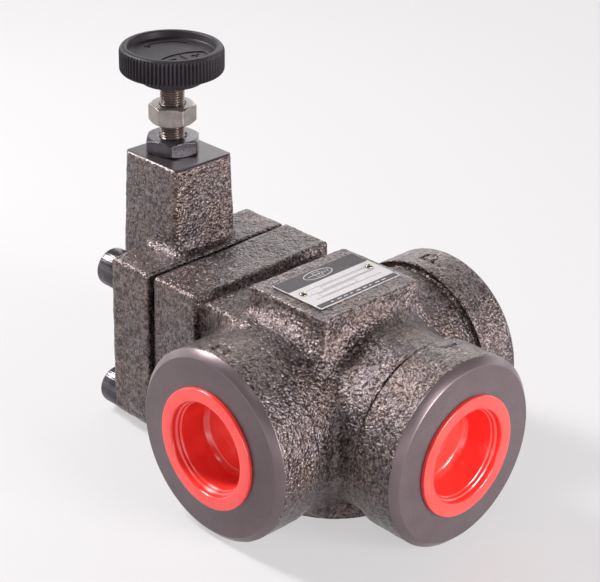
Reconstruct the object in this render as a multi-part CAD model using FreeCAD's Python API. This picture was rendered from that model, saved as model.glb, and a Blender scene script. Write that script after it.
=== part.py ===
import FreeCAD, Part
import math
import os
from FreeCAD import Vector

# Pilot-operated pressure control valve with threaded ports, in millimetres, +Z up.
# X is the axis of the main piston: the pilot cover is at -X and the tank port T at +X. Y is the axis of the two
# pressure ports P. Shapes are drawn about the point where the three port axes cross, and are lifted when they
# are written, so that the origin of the finished part is the centre of its rest face.

# ---- driving dimensions ----
P_FACE = 66.0
T_FACE = 67.0
BOSS_R = 38.0
BOSS_BACK = 45.5
BOSS_CHAMFER = 2.7
NECK_R = 36.0

PORT_MAJOR_R = 41.91 / 2
PORT_MINOR_R = 38.95 / 2
PORT_PITCH = 2.309
PORT_THREADS = 7
PORT_THREAD_DEPTH = 17.0
PORT_DEPTH = 31.0
P_PASSAGE_R = 14.8
T_PASSAGE_R = 18.5

BLOCK_BOTTOM = -36.5
BLOCK_DRAFT = 5.4
SHOULDER_X = -13.0
SHOULDER_Y = 33.0
SHOULDER_TOP = 33.6
REST_Z = -38.0
REST_R = 34.5
PAD_X = (-21.3, 18.6)
PAD_Y = 25.2
PAD_TOP = 45.2

FLANGE_X = (-64.3, -40.6)
FLANGE_Y = 36.5
COVER_X = (-90.4, -67.7)
COVER_Y = 37.2
OUTLINE_BOTTOM = -34.5
FLANGE_TOP = (36.6, 37.6)
COVER_TOP = (36.5, 36.2)
LAND_INSET = 3.2

TOWER_AXIS_X = -94.5
TOWER_X = (-107.0, -75.3)
TOWER_TOP = 71.45
TOWER_TOP_Y = 15.1
TOWER_BASE_Y = 16.3
TOWER_DRAFT_X = 1.2
TOWER_FOOT = 35.0
REAR_BLOCK_BOTTOM = -15.0

MAIN_BORE_R = 16.0
CHAMBER_R = 21.0
CHAMBER_X = (-21.0, 15.0)
SEAT_X = (21.0, 30.0)
SEAT_BORE_R = 13.0
SHOULDER_BORE_R = 16.5
PISTON_BACK = -55.0
PISTON_POCKET_R = 9.5
PISTON_POCKET_END = -26.0
SPRING_RECESS_END = -78.0

PILOT_CHAMBER_R = 8.0
PILOT_CHAMBER_Z = (20.0, 57.5)
RETAINER_R = 9.0
PILOT_SEAT_R = 6.0
PILOT_SEAT_BOTTOM = 9.0
PILOT_ORIFICE_R = 2.0
SENSE_R = 2.0
DRAIN_R = 2.0
DRAIN_Z = 28.0
DRAIN_END_X = 33.0

POPPET_COLLAR_Z = (28.0, 30.0)
POPPET_TAIL_Z = 34.0
PILOT_SPRING_R = 5.0
PILOT_WIRE_R = 0.7
PILOT_SPRING_TURNS = 6.0
MAIN_SPRING_R = 7.6
MAIN_WIRE_R = 1.2
MAIN_SPRING_TURNS = 9.0
PISTON_GROOVES_X = (-48.0, -42.0, -36.0, -30.0)
ORIFICE_R = 3.0
ORIFICE_LENGTH = 6.0
FEED_X = -10.0

RETAINER_AF = 20.5
RETAINER_TOP = 77.6
NUT_AF = 17.0
NUT_Z = (83.7, 91.4)
SCREW_R = 4.98
SCREW_HOLE_R = 5.03
SCREW_PITCH = 1.0
SCREW_TIP_Z = 53.02
SCREW_TOP_Z = 109.5
PLUNGER_Z = (46.0, 53.0)
PLUNGER_NIB_Z = 42.5
PLUNGER_GROOVE_Z = (48.4, 50.6)
RETAINER_GROOVE_Z = (59.5, 61.7)
CORNER_TO_FRONT = -45.0
FLAT_TO_FRONT = -75.0

KNOB_R = 20.9
KNOB_RIM_Z = (105.0, 115.6)
KNOB_FLOOR_Z = 112.5
KNOB_DISH_R = 17.6
KNOB_HUB_R = 12.6
KNOB_HUB_Z = 100.7
KNOB_FLUTES = 80
KNOB_FLUTE_R = 0.5
INSERT_R = 8.5
INSERT_TOP_Z = 110.0
SET_SCREW_R = 1.5
SET_SCREW_Z = 103.8

CAP_FLANGE_R = 24.0
CAP_FLANGE_T = 1.8
CAP_SLEEVE_R = 19.42
CAP_MOUTH_R = 18.75
CAP_DEPTH = 16.2
CAP_FLOOR = 1.4

SCREW_Y = 28.5
SCREW_Z = (26.2, -28.4)
M10_R = 5.0
M10_HEAD_R = 8.0
M10_HEAD_H = 10.0
M10_KEY_AF = 8.0
M10_END_X = -50.0

PLATE_CENTRE = (-2.0, 1.4)
PLATE_SIZE = (26.0, 43.0)
PLATE_T = 0.5
RIVET_PITCH = 35.6
RIVET_HEAD_R = 1.6
RIVET_SHANK_R = 1.0
RIVET_LENGTH = 5.0

VENT_R = 4.86
VENT_LENGTH = 9.0
VENT_HEAD_R = 7.0
VENT_HEAD_H = 3.5
VENT_SPOT = 0.5
VENT_KEY_AF = 5.0
VENT_SEAL_T = 1.0

FIT = 0.02
X = Vector(1, 0, 0)
Y = Vector(0, 1, 0)
Z = Vector(0, 0, 1)


# ---- shared shapes ----
def cylinder_x(radius, start, end, y=0.0, z=0.0):
    return Part.makeCylinder(radius, end - start, Vector(start, y, z), X)


def cylinder_z(radius, start, end, x=TOWER_AXIS_X, y=0.0):
    return Part.makeCylinder(radius, end - start, Vector(x, y, start), Z)


def turned(profile):
    """A solid of revolution about Z from (radius, height) points."""
    points = [Vector(radius, 0, height) for radius, height in profile]
    face = Part.Face(Part.makePolygon(points + points[:1]))
    return face.revolve(Vector(0, 0, 0), Z, 360)


def turned_ring(mean_radius, cord_radius, height):
    """An O-ring about Z."""
    return Part.makeTorus(mean_radius, cord_radius, Vector(0, 0, height), Z)


def at_tower(shape):
    shape.translate(Vector(TOWER_AXIS_X, 0, 0))
    return shape


def z_to_x(shape):
    """Turns a shape built about +Z so that its +Z lies along +X."""
    shape.rotate(Vector(0, 0, 0), Y, 90)
    return shape


def rounded_outline(corners, plane):
    """A closed wire through (u, v, radius) corners, each rounded by its radius; plane maps u, v to a point."""
    count = len(corners)
    edges = []
    ends = []
    for index, (u, v, radius) in enumerate(corners):
        here = Vector(u, v, 0)
        before = Vector(*corners[index - 1][:2], 0).sub(here).normalize()
        after = Vector(*corners[(index + 1) % count][:2], 0).sub(here).normalize()
        half_angle = before.getAngle(after) / 2
        reach = radius / math.tan(half_angle)
        bisector = before.add(after).normalize()
        middle = here + bisector * (radius / math.sin(half_angle) - radius)
        ends.append((here + before * reach, middle, here + after * reach))
    for index, (start, middle, end) in enumerate(ends):
        next_start = ends[(index + 1) % count][0]
        edges.append(Part.Arc(plane(start), plane(middle), plane(end)).toShape())
        edges.append(Part.makeLine(plane(end), plane(next_start)))
    return Part.Wire(edges)


def prism_x(corners, start, end):
    """An outline in Y and Z, extruded along X."""
    wire = rounded_outline(corners, lambda p: Vector(start, p.x, p.y))
    return Part.Face(wire).extrude(X * (end - start))


def rounded_box(x, y, z, radius):
    """An upright block whose vertical edges are rounded."""
    corners = [(x[0], y[0], radius), (x[1], y[0], radius), (x[1], y[1], radius), (x[0], y[1], radius)]
    wire = rounded_outline(corners, lambda p: Vector(p.x, p.y, z[0]))
    return Part.Face(wire).extrude(Z * (z[1] - z[0]))


def tapered_box(x, y, z, radius, draft_x, draft_y):
    """An upright block that grows by its drafts from the top, given by x and y, down to its foot."""
    wires = []
    for height, out_x, out_y in ((z[0], draft_x, draft_y), (z[1], 0.0, 0.0)):
        low_x, high_x = x[0] - out_x, x[1] + out_x
        low_y, high_y = y[0] - out_y, y[1] + out_y
        corners = [(low_x, low_y, radius), (high_x, low_y, radius), (high_x, high_y, radius), (low_x, high_y, radius)]
        wires.append(rounded_outline(corners, lambda p, level=height: Vector(p.x, p.y, level)))
    return Part.makeLoft(wires, True, True)


def hexagon(across_flats, start, end, turn_deg=0.0):
    """A hexagonal prism about Z; at turn 0 a corner points along +X."""
    radius = across_flats / math.sqrt(3)
    angles = [math.radians(60 * side + turn_deg) for side in range(6)]
    points = [Vector(radius * math.cos(a), radius * math.sin(a), start) for a in angles]
    return Part.Face(Part.makePolygon(points + points[:1])).extrude(Z * (end - start))


def chamfered_hexagon(across_flats, start, end, turn_deg, chamfer_top, chamfer_bottom):
    """A nut blank: a hexagon whose corners are turned off to a cone on the faces asked for."""
    corner = across_flats / math.sqrt(3) + 0.2
    face_r = across_flats / 2 - 0.2
    drop = (corner - face_r) * math.tan(math.radians(30))
    profile = [(0, start), (face_r, start), (corner, start + drop)]
    if not chamfer_bottom:
        profile = [(0, start), (corner, start)]
    profile += [(corner, end - drop), (face_r, end)] if chamfer_top else [(corner, end)]
    profile.append((0, end))
    return hexagon(across_flats, start, end, turn_deg).common(turned(profile))


def coil(mean_radius, wire_radius, length, turns):
    """A compression spring about Z, from height 0 to its length."""
    height = length - 2 * wire_radius
    path = Part.makeHelix(height / turns, height, mean_radius)
    tangent = Vector(0, 2 * math.pi * mean_radius, height / turns)
    section = Part.Wire(Part.makeCircle(wire_radius, Vector(mean_radius, 0, 0), tangent))
    spring = Part.Wire(path).makePipeShell([section], True, True)
    spring.translate(Vector(0, 0, wire_radius))
    return spring


# ---- casting shapes ----
def flange_outline(half_width, top, inset=0.0):
    """A rounded rectangle in Y and Z; top gives its heights at the -Y and the +Y side."""
    side = half_width - inset
    return [
        (-side, OUTLINE_BOTTOM + inset, 5.0),
        (side, OUTLINE_BOTTOM + inset, 5.0),
        (side, top[1] - inset, 2.0),
        (-side, top[0] - inset, 2.0),
    ]


def central_block():
    """The block between the ports: its walls flare out from the pad's edges down to the port axes."""
    upper = tapered_box(PAD_X, (-PAD_Y, PAD_Y), (0, PAD_TOP), 2.0, BLOCK_DRAFT, BLOCK_DRAFT)
    low_x = (PAD_X[0] - BLOCK_DRAFT, PAD_X[1] + BLOCK_DRAFT)
    low_y = (-PAD_Y - BLOCK_DRAFT, PAD_Y + BLOCK_DRAFT)
    return upper.fuse(rounded_box(low_x, low_y, (BLOCK_BOTTOM, 0), 2.0))


def port_boss(face):
    """A round port boss about Z: a plain neck, then the wider boss with its chamfered face."""
    return turned([
        (0, 0),
        (NECK_R, 0),
        (NECK_R, BOSS_BACK - 1.0),
        (BOSS_R - 1.0, BOSS_BACK),
        (BOSS_R, BOSS_BACK + 1.0),
        (BOSS_R, face - BOSS_CHAMFER),
        (BOSS_R - BOSS_CHAMFER, face),
        (0, face),
    ])


def port_cavity(face, passage_radius, start):
    """The hole of one port about Z: thread grooves, a plain bore at the thread's minor size, then the passage."""
    bottom = face - PORT_DEPTH
    groove = PORT_MAJOR_R - PORT_MINOR_R
    profile = [(0, start), (passage_radius, start), (passage_radius, bottom), (PORT_MINOR_R, bottom)]
    height = face - PORT_THREAD_DEPTH
    for _ in range(PORT_THREADS):
        profile.append((PORT_MINOR_R, height))
        profile.append((PORT_MINOR_R + groove, height + PORT_PITCH / 2))
        height += PORT_PITCH
    profile.append((PORT_MINOR_R, height))
    profile.append((PORT_MAJOR_R, height + groove))
    profile.append((PORT_MAJOR_R, face + 1))
    profile.append((0, face + 1))
    return turned(profile)


def around_port(shape, port):
    """Turns a shape built about +Z so that its +Z points out of a port: near is -Y, far is +Y, tank is +X."""
    if port == "tank":
        return z_to_x(shape)
    shape.rotate(Vector(0, 0, 0), X, 90 if port == "near" else -90)
    return shape


PORTS = {
    "near": (P_FACE, P_PASSAGE_R, 0.0),
    "far": (P_FACE, P_PASSAGE_R, 0.0),
    "tank": (T_FACE, T_PASSAGE_R, SEAT_X[0]),
}


def cover_screw_places():
    return [(side * SCREW_Y, height) for side in (-1, 1) for height in SCREW_Z]


def rivet_places():
    return [(PLATE_CENTRE[0], PLATE_CENTRE[1] + side * RIVET_PITCH / 2) for side in (-1, 1)]


def valve_body():
    flange_end = FLANGE_X[1]
    body = prism_x(flange_outline(FLANGE_Y, FLANGE_TOP), FLANGE_X[0], flange_end)
    shoulder_y = (-SHOULDER_Y, SHOULDER_Y)
    shoulder = rounded_box((flange_end - 4, SHOULDER_X), shoulder_y, (OUTLINE_BOTTOM, SHOULDER_TOP), 3.5)
    rest = turned([(0, REST_Z), (REST_R, REST_Z), (REST_R + 1.5, BLOCK_BOTTOM + 2), (0, BLOCK_BOTTOM + 2)])
    bosses = [around_port(port_boss(size[0]), port) for port, size in PORTS.items()]
    body = body.fuse([central_block(), shoulder, rest] + bosses)
    holes = [around_port(port_cavity(*size), port) for port, size in PORTS.items()]
    holes.append(cylinder_x(MAIN_BORE_R, FLANGE_X[0] - 1, CHAMBER_X[0] + 1))
    holes.append(cylinder_x(CHAMBER_R, *CHAMBER_X))
    holes.append(cylinder_x(SHOULDER_BORE_R, CHAMBER_X[1] - 1, SEAT_X[0]))
    holes.append(cylinder_x(DRAIN_R, FLANGE_X[0] - 1, DRAIN_END_X + 5, z=DRAIN_Z))
    holes.append(cylinder_z(DRAIN_R, 0, DRAIN_Z, x=DRAIN_END_X))
    for y, z in cover_screw_places():
        holes.append(cylinder_x(M10_R + FIT, FLANGE_X[0] - 1, M10_END_X + 3, y, z))
    for x, y in rivet_places():
        holes.append(cylinder_z(RIVET_SHANK_R + FIT, PAD_TOP - RIVET_LENGTH - 1, PAD_TOP + 1, x, y))
    return body.cut(holes)


def pilot_cover():
    plate = prism_x(flange_outline(COVER_Y, COVER_TOP), *COVER_X)
    land = prism_x(flange_outline(FLANGE_Y, COVER_TOP, LAND_INSET), COVER_X[1] - 1, FLANGE_X[0])
    tower_y = (-TOWER_TOP_Y, TOWER_TOP_Y)
    draft_y = TOWER_BASE_Y - TOWER_TOP_Y
    tower = tapered_box(TOWER_X, tower_y, (TOWER_FOOT, TOWER_TOP), 2.5, TOWER_DRAFT_X, draft_y)
    rear_x = (TOWER_X[0] - TOWER_DRAFT_X, COVER_X[0] + 5)
    rear = rounded_box(rear_x, (-TOWER_BASE_Y, TOWER_BASE_Y), (REAR_BLOCK_BOTTOM, TOWER_FOOT + 1), 2.5)
    cover = plate.fuse([land, tower, rear])
    seal_depth = 2.0
    groove = z_to_x(turned([(18.6, -1), (21.4, -1), (21.4, seal_depth), (18.6, seal_depth)]))
    groove.translate(X * (FLANGE_X[0] - seal_depth))
    drain_groove = cylinder_x(4.6, FLANGE_X[0] - 1.6, FLANGE_X[0] + 1, z=DRAIN_Z)
    holes = [
        groove,
        drain_groove,
        cylinder_x(PISTON_POCKET_R, SPRING_RECESS_END, FLANGE_X[0] + 1),
        cylinder_x(SENSE_R, TOWER_AXIS_X, SPRING_RECESS_END + 1),
        cylinder_x(VENT_R + FIT, rear_x[0] - 1, rear_x[0] + VENT_LENGTH),
        cylinder_x(VENT_HEAD_R + 0.3, rear_x[0] - 1, rear_x[0] + VENT_SPOT),
        cylinder_x(SENSE_R, rear_x[0], TOWER_AXIS_X + 1),
        cylinder_z(SENSE_R, 0, PILOT_SEAT_BOTTOM + 1),
        cylinder_z(PILOT_SEAT_R + FIT, PILOT_SEAT_BOTTOM, PILOT_CHAMBER_Z[0] + 1),
        cylinder_z(PILOT_CHAMBER_R, *PILOT_CHAMBER_Z),
        cylinder_z(RETAINER_R + FIT, PILOT_CHAMBER_Z[1], TOWER_TOP + 1),
        cylinder_x(DRAIN_R, TOWER_AXIS_X, FLANGE_X[0] + 1, z=DRAIN_Z),
    ]
    for y, z in cover_screw_places():
        holes.append(cylinder_x(M10_R + 0.5, COVER_X[0] - 1, FLANGE_X[0] + 1, y, z))
    return cover.cut(holes)


# ---- fasteners ----
def socket_screw(radius, length, head_r, head_h, key_af):
    """A socket head cap screw about Z: the head below 0, the shank above."""
    head = turned([(0, -head_h), (head_r - 0.8, -head_h), (head_r, -head_h + 0.8), (head_r, 0), (0, 0)])
    shank = turned([(0, -0.5), (radius, -0.5), (radius, length - 1), (radius - 1, length), (0, length)])
    key = hexagon(key_af, -head_h - 1, -head_h * 0.45)
    return head.fuse(shank).cut(key)


def cover_screws():
    screws = []
    for y, z in cover_screw_places():
        screw = z_to_x(socket_screw(M10_R, M10_END_X - COVER_X[0], M10_HEAD_R, M10_HEAD_H, M10_KEY_AF))
        screw.translate(Vector(COVER_X[0], y, z))
        screws.append(screw)
    return Part.makeCompound(screws)


def vent_seat_x():
    return TOWER_X[0] - TOWER_DRAFT_X + VENT_SPOT


def vent_plug():
    plug = z_to_x(socket_screw(VENT_R, VENT_LENGTH - 1, VENT_HEAD_R, VENT_HEAD_H, VENT_KEY_AF))
    plug.translate(X * (vent_seat_x() - VENT_SEAL_T))
    return plug


def vent_plug_seal():
    start = vent_seat_x() - VENT_SEAL_T
    ring = cylinder_x(VENT_HEAD_R - 0.2, start, start + VENT_SEAL_T)
    return ring.cut(cylinder_x(VENT_R + FIT, start - 1, start + 2))


def nameplate():
    x, y = PLATE_CENTRE
    half_x, half_y = PLATE_SIZE[0] / 2, PLATE_SIZE[1] / 2
    plate = rounded_box((x - half_x, x + half_x), (y - half_y, y + half_y), (PAD_TOP, PAD_TOP + PLATE_T), 0.8)
    holes = [cylinder_z(RIVET_SHANK_R + FIT, PAD_TOP - 1, PAD_TOP + 1, *place) for place in rivet_places()]
    return plate.cut(holes)


def nameplate_rivets():
    rivets = []
    seat = PAD_TOP + PLATE_T
    for x, y in rivet_places():
        dome = Part.makeSphere(2.0, Vector(x, y, seat - 1.2))
        head = dome.common(cylinder_z(RIVET_HEAD_R, seat, seat + 2, x, y))
        shank = cylinder_z(RIVET_SHANK_R, PAD_TOP - RIVET_LENGTH, seat + 0.1, x, y)
        rivets.append(head.fuse(shank))
    return Part.makeCompound(rivets)


# ---- main stage ----
def main_seat():
    start, end = SEAT_X
    seat = z_to_x(turned([
        (SEAT_BORE_R + 1.5, start),
        (T_PASSAGE_R - FIT, start),
        (T_PASSAGE_R - FIT, end),
        (SEAT_BORE_R + 1.0, end),
        (SEAT_BORE_R, end - 1.0),
        (SEAT_BORE_R, start + 1.5),
    ]))
    return seat


def main_piston():
    nose_x = SEAT_X[0] + 4.0
    contact_gap = 0.03
    piston = turned([
        (0, PISTON_BACK),
        (MAIN_BORE_R - 1.0, PISTON_BACK),
        (MAIN_BORE_R - 0.04, PISTON_BACK + 1.0),
        (MAIN_BORE_R - 0.04, CHAMBER_X[0] - 2.0),
        (11.0, CHAMBER_X[0]),
        (11.0, SEAT_X[0] - 6.0),
        (SEAT_BORE_R + 2.0 - contact_gap, SEAT_X[0] - 2.0),
        (SEAT_BORE_R + 2.0 - contact_gap, SEAT_X[0] - 0.5),
        (SEAT_BORE_R - 2.5 - contact_gap, nose_x),
        (0, nose_x),
    ])
    pocket = cylinder_z(PISTON_POCKET_R, PISTON_BACK - 1, PISTON_POCKET_END, x=0)
    orifice_bore = cylinder_z(ORIFICE_R + FIT, PISTON_POCKET_END - 1, PISTON_POCKET_END + ORIFICE_LENGTH, x=0)
    feed = cylinder_z(ORIFICE_R - 1.0, PISTON_POCKET_END, FEED_X + 1, x=0)
    cross_feed = Part.makeCylinder(ORIFICE_R - 1.0, 24, Vector(0, -12, FEED_X), Y)
    grooves = []
    for groove_x in PISTON_GROOVES_X:
        ring = cylinder_z(MAIN_BORE_R + 1, groove_x, groove_x + 0.8, x=0)
        grooves.append(ring.cut(cylinder_z(MAIN_BORE_R - 0.7, groove_x - 1, groove_x + 2, x=0)))
    return z_to_x(piston.cut([pocket, orifice_bore, feed, cross_feed] + grooves))


def damping_orifice():
    end = PISTON_POCKET_END + ORIFICE_LENGTH
    plug = cylinder_z(ORIFICE_R, PISTON_POCKET_END, end, x=0)
    jet = cylinder_z(0.5, PISTON_POCKET_END - 1, end + 1, x=0)
    key = hexagon(2.5, PISTON_POCKET_END - 1, PISTON_POCKET_END + 2)
    return z_to_x(plug.cut([jet, key]))


def main_spring():
    length = PISTON_POCKET_END - SPRING_RECESS_END
    spring = coil(MAIN_SPRING_R, MAIN_WIRE_R, length - 2 * FIT, MAIN_SPRING_TURNS)
    spring = z_to_x(spring)
    spring.translate(X * (SPRING_RECESS_END + FIT))
    return spring


def cover_seal_ring():
    ring = z_to_x(turned_ring(20.0, 0.98, 0))
    ring.translate(X * (FLANGE_X[0] - 1.0))
    return ring


def drain_seal_ring():
    ring = z_to_x(turned_ring(3.6, 0.78, 0))
    ring.translate(Vector(FLANGE_X[0] - 0.8, 0, DRAIN_Z))
    return ring


# ---- pilot stage, stacked on the tower's axis ----
def pilot_seat():
    top = PILOT_CHAMBER_Z[0]
    return at_tower(turned([
        (PILOT_ORIFICE_R - 0.8, PILOT_SEAT_BOTTOM),
        (PILOT_SEAT_R, PILOT_SEAT_BOTTOM),
        (PILOT_SEAT_R, top),
        (PILOT_CHAMBER_R - FIT, top),
        (PILOT_CHAMBER_R - FIT, top + 2.0),
        (PILOT_ORIFICE_R, top + 2.0),
        (PILOT_ORIFICE_R, PILOT_SEAT_BOTTOM + 6.0),
        (PILOT_ORIFICE_R - 0.8, PILOT_SEAT_BOTTOM + 6.0),
    ]))


def pilot_poppet():
    edge = PILOT_CHAMBER_Z[0] + 2.0 + FIT
    slope = 0.6
    tip_r = 0.8
    tip_z = edge - (PILOT_ORIFICE_R - tip_r) / slope
    body_r = 4.2
    return at_tower(turned([
        (0, tip_z),
        (tip_r, tip_z),
        (body_r, tip_z + (body_r - tip_r) / slope),
        (body_r, POPPET_COLLAR_Z[0]),
        (6.8, POPPET_COLLAR_Z[0]),
        (6.8, POPPET_COLLAR_Z[1]),
        (3.2, POPPET_COLLAR_Z[1]),
        (3.0, POPPET_TAIL_Z),
        (0, POPPET_TAIL_Z),
    ]))


def pilot_spring():
    length = PLUNGER_Z[0] - POPPET_COLLAR_Z[1]
    spring = coil(PILOT_SPRING_R, PILOT_WIRE_R, length - 2 * FIT, PILOT_SPRING_TURNS)
    spring.translate(Vector(TOWER_AXIS_X, 0, POPPET_COLLAR_Z[1] + FIT))
    return spring


def spring_plunger():
    low, high = PLUNGER_Z
    outer = PILOT_CHAMBER_R - 0.04
    groove_low, groove_high = PLUNGER_GROOVE_Z
    return at_tower(turned([
        (0, PLUNGER_NIB_Z),
        (3.0, PLUNGER_NIB_Z),
        (3.2, low),
        (outer, low),
        (outer, groove_low),
        (6.2, groove_low),
        (6.2, groove_high),
        (outer, groove_high),
        (outer, high - 0.5),
        (outer - 0.5, high),
        (0, high),
    ]))


def plunger_seal():
    low, high = PLUNGER_GROOVE_Z
    return at_tower(turned_ring(7.08, 0.86, (low + high) / 2))


def retainer_nut():
    head = chamfered_hexagon(RETAINER_AF, TOWER_TOP, RETAINER_TOP, CORNER_TO_FRONT, True, False)
    groove_low, groove_high = RETAINER_GROOVE_Z
    shank = turned([
        (0, PILOT_CHAMBER_Z[1]),
        (RETAINER_R, PILOT_CHAMBER_Z[1]),
        (RETAINER_R, groove_low),
        (7.2, groove_low),
        (7.2, groove_high),
        (RETAINER_R, groove_high),
        (RETAINER_R, TOWER_TOP + 1),
        (0, TOWER_TOP + 1),
    ])
    hole = cylinder_z(SCREW_HOLE_R, PILOT_CHAMBER_Z[1] - 1, RETAINER_TOP + 1, x=0)
    mouth = turned([(0, RETAINER_TOP - 1), (SCREW_R - 0.2, RETAINER_TOP - 1), (SCREW_R + 1.0, RETAINER_TOP + 0.2),
                    (0, RETAINER_TOP + 0.2)])
    return at_tower(head.fuse(shank).cut([hole, mouth]))


def retainer_seal():
    low, high = RETAINER_GROOVE_Z
    return at_tower(turned_ring(8.1, 0.88, (low + high) / 2))


def adjusting_screw():
    """A fine-thread screw; the thread is shown as plain rings, and its tip rests on the plunger."""
    half = SCREW_PITCH / 2
    depth = 0.45
    profile = [(0, SCREW_TIP_Z), (3.4, SCREW_TIP_Z), (3.6, SCREW_TIP_Z + 3.0), (SCREW_R - depth, SCREW_TIP_Z + 3.5)]
    height = SCREW_TIP_Z + 4.0
    while height + SCREW_PITCH < KNOB_HUB_Z:
        profile.append((SCREW_R - depth, height))
        profile.append((SCREW_R, height + half * 0.8))
        profile.append((SCREW_R, height + half * 1.2))
        height += SCREW_PITCH
    profile += [(SCREW_R - depth, height), (SCREW_R - depth, SCREW_TOP_Z), (0, SCREW_TOP_Z)]
    return at_tower(turned(profile))


def lock_nut():
    blank = chamfered_hexagon(NUT_AF, *NUT_Z, FLAT_TO_FRONT, True, True)
    hole = cylinder_z(SCREW_HOLE_R, NUT_Z[0] - 1, NUT_Z[1] + 1, x=0)
    mouths = []
    for end, inside in ((NUT_Z[0], 1), (NUT_Z[1], -1)):
        mouths.append(turned([(0, end - 0.1 * inside), (SCREW_R + 0.6, end - 0.1 * inside),
                              (SCREW_R - 0.1, end + 0.7 * inside), (0, end + 0.7 * inside)]))
    return at_tower(blank.cut([hole] + mouths))


def hand_knob():
    rim_low, rim_top = KNOB_RIM_Z
    skirt_r = KNOB_R - 2.2
    knob = turned([
        (0, KNOB_HUB_Z),
        (KNOB_HUB_R - 1.0, KNOB_HUB_Z),
        (KNOB_HUB_R, KNOB_HUB_Z + 1.0),
        (KNOB_HUB_R, rim_low + 2.0),
        (skirt_r, rim_low + 2.0),
        (skirt_r, rim_low),
        (KNOB_R - 1.2, rim_low),
        (KNOB_R, rim_low + 1.2),
        (KNOB_R, rim_top - 1.4),
        (KNOB_R - 0.5, rim_top - 0.4),
        (KNOB_R - 1.4, rim_top),
        (KNOB_DISH_R + 0.6, rim_top),
        (KNOB_DISH_R, rim_top - 0.6),
        (KNOB_DISH_R, KNOB_FLOOR_Z),
        (0, KNOB_FLOOR_Z),
    ])
    flutes = []
    for index in range(KNOB_FLUTES):
        angle = 2 * math.pi * index / KNOB_FLUTES
        place = Vector(KNOB_R * math.cos(angle), KNOB_R * math.sin(angle), rim_low - 1)
        flutes.append(Part.makeCylinder(KNOB_FLUTE_R, rim_top - rim_low - 0.4, place, Z))
    insert_bore = cylinder_z(INSERT_R + FIT, KNOB_HUB_Z - 1, INSERT_TOP_Z + FIT, x=0)
    set_screw_hole = Part.makeCylinder(SET_SCREW_R + FIT, KNOB_HUB_R + 1, Vector(0, 0, SET_SCREW_Z), Y)
    return at_tower(knob.cut([Part.makeCompound(flutes), insert_bore, set_screw_hole]))


def knob_insert():
    sleeve = cylinder_z(INSERT_R, KNOB_HUB_Z, INSERT_TOP_Z, x=0)
    bore = cylinder_z(SCREW_HOLE_R, KNOB_HUB_Z - 1, SCREW_TOP_Z + FIT, x=0)
    set_screw_hole = Part.makeCylinder(SET_SCREW_R + FIT, KNOB_HUB_R, Vector(0, 0, SET_SCREW_Z), Y)
    return at_tower(sleeve.cut([bore, set_screw_hole]))


def knob_set_screw():
    start, end = SCREW_R + FIT, KNOB_HUB_R - 1.0
    screw = Part.makeCylinder(SET_SCREW_R, end - start, Vector(0, start, SET_SCREW_Z), Y)
    key = hexagon(1.5, 0, 2)
    key.rotate(Vector(0, 0, 0), X, 90)
    key.translate(Vector(0, end + 0.5, SET_SCREW_Z))
    return at_tower(screw.cut(key))


# ---- port caps ----
def port_cap(port):
    """A moulded plug: a flange on the port face, and a stepped cup inside the thread."""
    face = PORTS[port][0]
    outer = face + CAP_FLANGE_T
    floor = outer - CAP_DEPTH
    tip = floor - CAP_FLOOR
    cap = turned([
        (0, tip),
        (CAP_SLEEVE_R - 1.0, tip),
        (CAP_SLEEVE_R, tip + 1.0),
        (CAP_SLEEVE_R, face + FIT),
        (CAP_FLANGE_R, face + FIT),
        (CAP_FLANGE_R, outer - 0.5),
        (CAP_FLANGE_R - 0.5, outer),
        (CAP_MOUTH_R, outer),
        (CAP_MOUTH_R, outer - 2.2),
        (CAP_MOUTH_R - 0.5, outer - 2.2),
        (CAP_MOUTH_R - 0.5, outer - 4.2),
        (CAP_MOUTH_R - 1.0, outer - 4.2),
        (CAP_MOUTH_R - 1.3, floor),
        (0, floor),
    ])
    return around_port(cap, port)


NODES = {
    "valve_body": valve_body,
    "pilot_cover": pilot_cover,
    "cover_screws": cover_screws,
    "cover_seal_ring": cover_seal_ring,
    "drain_seal_ring": drain_seal_ring,
    "main_seat": main_seat,
    "main_piston": main_piston,
    "main_spring": main_spring,
    "damping_orifice": damping_orifice,
    "pilot_seat": pilot_seat,
    "pilot_poppet": pilot_poppet,
    "pilot_spring": pilot_spring,
    "spring_plunger": spring_plunger,
    "plunger_seal": plunger_seal,
    "retainer_nut": retainer_nut,
    "retainer_seal": retainer_seal,
    "adjusting_screw": adjusting_screw,
    "lock_nut": lock_nut,
    "hand_knob": hand_knob,
    "knob_insert": knob_insert,
    "knob_set_screw": knob_set_screw,
    "vent_plug": vent_plug,
    "vent_plug_seal": vent_plug_seal,
    "nameplate": nameplate,
    "nameplate_rivets": nameplate_rivets,
    "port_cap_near": lambda: port_cap("near"),
    "port_cap_far": lambda: port_cap("far"),
    "port_cap_tank": lambda: port_cap("tank"),
}

os.makedirs("parts", exist_ok=True)
for name, make in NODES.items():
    shape = make()
    shape.translate(Z * -REST_Z)
    shape.exportStep("parts/" + name + ".step")
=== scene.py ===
import math
from itertools import product

import bmesh
import bpy
import numpy as np
from mathutils import Matrix, Vector


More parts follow.
